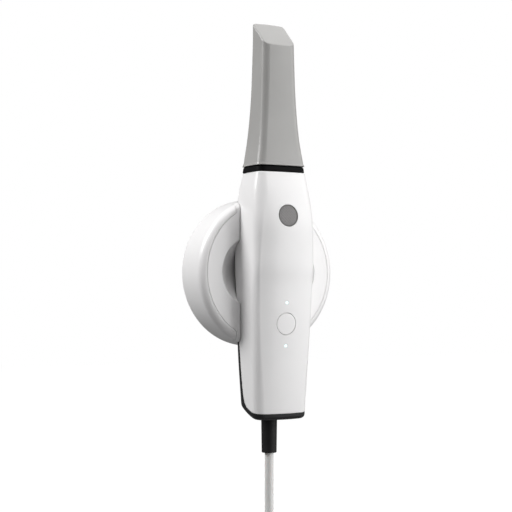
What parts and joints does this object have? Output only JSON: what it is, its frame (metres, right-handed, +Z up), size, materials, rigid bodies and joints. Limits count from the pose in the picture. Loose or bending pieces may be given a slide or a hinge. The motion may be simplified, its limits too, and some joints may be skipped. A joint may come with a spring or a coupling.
{
  "type": "intraoral scanner",
  "caption": "Wired intraoral scanner with a grey pull-off tip, resting upright in a round white wall holder, its cable put away in a tied hank",
  "frame": {"origin": "centre of the holder's back face, which lies on the wall", "axes": "+Y into the wall, +Z up along the handpiece, the buttons look along -Y"},
  "size_m": [0.097, 0.0536, 0.4875],
  "materials": {
    "white_shell": "satin moulded",
    "black_shell": "fine matt",
    "black_seal": "matt",
    "clear_glass": "clear",
    "board_green": "solder mask",
    "dark_part": "moulded",
    "screw_steel": "plated",
    "light_guide": "clear, lit white",
    "dark_metal": "black anodised",
    "lens_glass": "coated",
    "bare_aluminium": "milled",
    "keeper_steel": "plated",
    "relief_rubber": "matt",
    "cable_grey": "smooth",
    "tie_fabric": "hook and loop",
    "plug_metal": "plated",
    "tongue_white": "moulded",
    "holder_white": "satin moulded",
    "magnet_nickel": "nickel plated",
    "tip_grey": "fine matt",
    "tip_mirror_face": "front silvered",
    "button_grey": "fine textured"
  },
  "bodies": {
    "scanner": {"front_shell": "white_shell", "back_shell": "black_shell", "neck_ring": "black_seal", "nose_barrel": "black_shell", "nose_window": "clear_glass", "main_board": "board_green", "scan_switch": "dark_part", "mode_switch": "dark_part", "board_screws": "screw_steel", "upper_light_guide": "light_guide", "lower_light_guide": "light_guide", "optics_chassis": "dark_metal", "chassis_screws": "screw_steel", "camera_lens": "lens_glass", "camera_sensor_board": "board_green", "projector_lens": "lens_glass", "projector_lamp_board": "board_green", "heat_sink": "bare_aluminium", "steel_keeper": "keeper_steel", "strain_relief": "relief_rubber", "cable_clamp": "dark_part", "cover_screws": "screw_steel", "cable": "cable_grey", "cable_hank": "cable_grey", "cable_tie": "tie_fabric", "plug_body": "cable_grey", "plug_shell": "plug_metal", "plug_tongue": "tongue_white", "holder_rim": "holder_white", "holder_cradle": "holder_white", "wall_plate": "holder_white", "holder_magnets": "magnet_nickel"},
    "tip": {"tip_shell": "tip_grey", "tip_mirror": "tip_mirror_face"},
    "scan_key": {"scan_button": "button_grey"},
    "mode_key": {"mode_button": "white_shell"}
  },
  "joints": [
    {"name": "tip_pull", "type": "slide", "parent": "scanner", "child": "tip", "axis": [0, 0, 1], "range_m": [0, 0.055]},
    {"name": "scan_press", "type": "slide", "parent": "scanner", "child": "scan_key", "axis": [0, 0.9945, -0.1045], "range_m": [0, 0.0006], "stiffness_N_per_m": 600, "springref_m": -0.0008},
    {"name": "mode_press", "type": "slide", "parent": "scanner", "child": "mode_key", "axis": [0, 0.998, 0.0626], "range_m": [0, 0.0005], "stiffness_N_per_m": 600, "springref_m": -0.0008}
  ]
}
